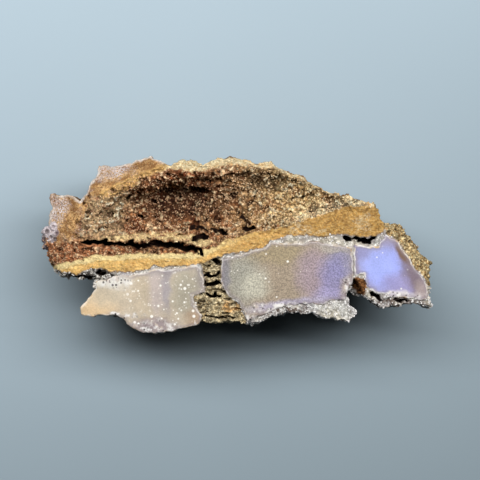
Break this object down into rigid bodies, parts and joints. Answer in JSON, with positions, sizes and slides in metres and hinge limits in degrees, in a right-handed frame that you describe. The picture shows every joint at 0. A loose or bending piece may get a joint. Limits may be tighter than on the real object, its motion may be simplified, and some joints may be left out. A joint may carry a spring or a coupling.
{
  "type": "chalcedony specimen in porous rock matrix",
  "caption": "Natural stone with a seam of lavender grey chalcedony under spongy ochre rock, sawn flat across the top, lying on its broken flat for display.",
  "frame": {"origin": "on the surface that the stone rests on, under the middle of its box", "axes": "+X along the chalcedony seam, +Y from the seam towards the porous rock, +Z out of the sawn face, square to the floor"},
  "size_m": [0.1059, 0.0488, 0.032],
  "materials": {
    "ochre_rock": "matte"
  },
  "bodies": {
    "root": {"chalcedony_stone": "ochre_rock"}
  },
  "joints": []
}
